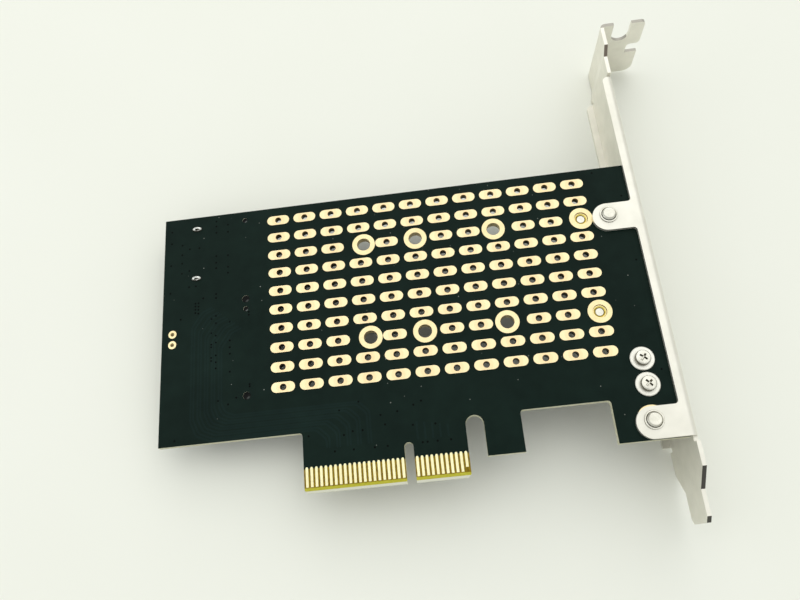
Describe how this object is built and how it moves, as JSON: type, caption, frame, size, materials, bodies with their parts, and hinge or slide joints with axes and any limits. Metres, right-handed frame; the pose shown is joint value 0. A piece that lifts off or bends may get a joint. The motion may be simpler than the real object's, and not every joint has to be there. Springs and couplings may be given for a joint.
{
  "type": "nvme adapter card",
  "caption": "Expansion card that carries two M.2 drives, with an x4 card edge, a full-height folded bracket and a field of bare gold heat pads",
  "frame": {"origin": "middle of the key notch, at the tip of the card edge, on the board's mid-plane", "axes": "+X along the card edge towards the bracket, +Y out of the slot towards the card's top edge, +Z out of the solder side"},
  "size_m": [0.1228, 0.1201, 0.0194],
  "materials": {
    "solder_mask_board": "dark satin solder mask over glass-epoxy laminate, cut edges left bare",
    "gold_plating": "pale immersion gold over copper, satin",
    "nickel_plated_sheet": "satin nickel plate on folded sheet steel",
    "screw_steel": "bright zinc-plated steel",
    "turned_brass": "turned brass, bright",
    "socket_moulding": "black high-temperature moulding, fine matte grain",
    "port_moulding": "black moulding, slight sheen",
    "tinned_metal": "matte tin plate",
    "bright_solder": "smooth bright solder",
    "black_epoxy": "matte black epoxy moulding",
    "ferrite_block": "pressed grey-black ferrite powder",
    "can_aluminium": "bright drawn aluminium",
    "tan_ceramic": "fired tan ceramic",
    "black_glaze": "black glazed resistor body",
    "clear_lens": "milky clear epoxy lens"
  },
  "bodies": {
    "root": {"circuit_board": "solder_mask_board", "hole_rings": "gold_plating", "header_rings": "gold_plating", "solder_side_contacts": "gold_plating", "component_side_contacts": "gold_plating", "bracket": "nickel_plated_sheet", "bracket_screws": "screw_steel", "spare_screws": "screw_steel", "spare_washers": "nickel_plated_sheet", "drive_screws": "screw_steel", "spare_standoffs": "turned_brass", "drive_standoffs": "turned_brass", "nvme_socket_housing": "socket_moulding", "sata_drive_socket_housing": "socket_moulding", "nvme_socket_contacts": "tinned_metal", "sata_drive_socket_contacts": "tinned_metal", "nvme_socket_clips": "tinned_metal", "sata_drive_socket_clips": "tinned_metal", "sata_port_housing": "port_moulding", "sata_port_contacts": "gold_plating", "sata_port_locks": "tinned_metal", "sata_port_solder": "bright_solder", "regulator_package": "black_epoxy", "regulator_leads": "tinned_metal", "power_inductor": "ferrite_block", "inductor_terminals": "tinned_metal", "capacitor_bases": "black_epoxy", "bulk_capacitors": "can_aluminium", "capacitor_tabs": "tinned_metal", "coupling_capacitors": "tan_ceramic", "decoupling_capacitors": "tan_ceramic", "resistors": "black_glaze", "status_lights": "clear_lens", "chip_terminals": "tinned_metal"}
  },
  "joints": []
}
